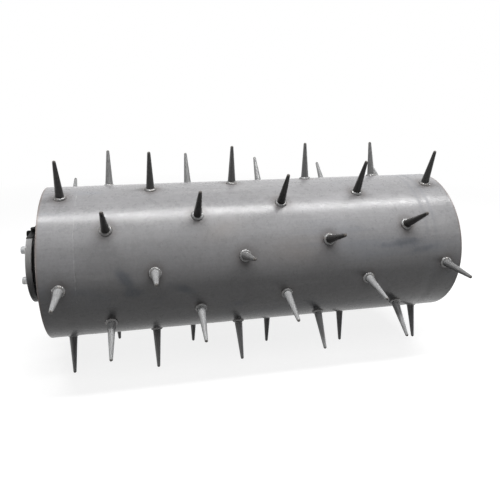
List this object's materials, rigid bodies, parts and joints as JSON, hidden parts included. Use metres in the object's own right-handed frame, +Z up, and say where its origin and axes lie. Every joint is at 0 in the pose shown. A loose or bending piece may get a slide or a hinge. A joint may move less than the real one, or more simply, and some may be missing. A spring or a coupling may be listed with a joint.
{
  "type": "lawn aerator roller",
  "caption": "Spiked steel drum that rolls on a fixed axle with bearings, carried by a round mounting flange at each end.",
  "frame": {"origin": "on the axle's axis at the middle of the drum's length", "axes": "+X along the axle to the right-hand end, -Y to the front as pictured, +Z up"},
  "size_m": [0.9822, 0.4896, 0.4896],
  "materials": {
    "drum_steel": "satin grey steel with faint heat tint",
    "spike_steel": "turned and bright",
    "weld_metal": "rippled weld",
    "bare_steel": "hot rolled, dull",
    "black_casting": "gloss black paint",
    "black_oxide": "black oxide",
    "seal_rubber": "matte",
    "zinc_plate": "bright zinc plate",
    "cage_brass": "pressed",
    "flange_steel": "turned, satin",
    "turned_steel": "turned",
    "bearing_steel": "ground"
  },
  "bodies": {
    "fixed_axle": {"axle": "turned_steel", "left_bearing_inner_ring": "bearing_steel", "right_bearing_inner_ring": "bearing_steel", "left_spacer_sleeve": "turned_steel", "right_spacer_sleeve": "turned_steel", "left_axle_key": "black_oxide", "right_axle_key": "black_oxide", "left_carrier": "black_casting", "right_carrier": "black_casting", "left_end_washer": "zinc_plate", "right_end_washer": "zinc_plate", "left_end_screw": "zinc_plate", "right_end_screw": "zinc_plate", "left_mounting_flange": "flange_steel", "right_mounting_flange": "flange_steel", "left_lock_washers": "zinc_plate", "right_lock_washers": "zinc_plate", "left_flange_screws": "zinc_plate", "right_flange_screws": "zinc_plate", "left_keeper_bar": "black_oxide", "right_keeper_bar": "black_oxide", "left_keeper_screw": "black_oxide", "right_keeper_screw": "black_oxide"},
    "drum": {"drum_shell": "drum_steel", "spike_ring_01": "spike_steel", "spike_ring_02": "spike_steel", "spike_ring_03": "spike_steel", "spike_ring_04": "spike_steel", "spike_ring_05": "spike_steel", "spike_ring_06": "spike_steel", "spike_ring_07": "spike_steel", "spike_ring_08": "spike_steel", "spike_ring_09": "spike_steel", "spike_ring_10": "spike_steel", "spike_welds": "weld_metal", "left_bulkhead": "bare_steel", "right_bulkhead": "bare_steel", "left_bulkhead_welds": "weld_metal", "right_bulkhead_welds": "weld_metal", "left_bearing_hub": "bare_steel", "right_bearing_hub": "bare_steel", "left_bearing_outer_ring": "bearing_steel", "right_bearing_outer_ring": "bearing_steel", "left_bearing_shields": "bearing_steel", "right_bearing_shields": "bearing_steel", "left_retaining_ring": "bearing_steel", "right_retaining_ring": "bearing_steel", "left_shaft_seal": "seal_rubber", "right_shaft_seal": "seal_rubber"},
    "left_cage": {"left_balls": "bearing_steel", "left_ball_cage": "cage_brass"},
    "right_cage": {"right_balls": "bearing_steel", "right_ball_cage": "cage_brass"}
  },
  "joints": [
    {"name": "drum_spin", "type": "hinge", "parent": "fixed_axle", "child": "drum", "pos_m": [0, 0, 0], "axis": [1, 0, 0], "continuous": true},
    {"name": "left_cage_spin", "type": "hinge", "parent": "fixed_axle", "child": "left_cage", "pos_m": [0, 0, 0], "axis": [1, 0, 0], "continuous": true},
    {"name": "right_cage_spin", "type": "hinge", "parent": "fixed_axle", "child": "right_cage", "pos_m": [0, 0, 0], "axis": [1, 0, 0], "continuous": true}
  ],
  "couplings": [
    {"joint": "left_cage_spin", "follows": "drum_spin", "ratio": 0.6},
    {"joint": "right_cage_spin", "follows": "drum_spin", "ratio": 0.6}
  ]
}
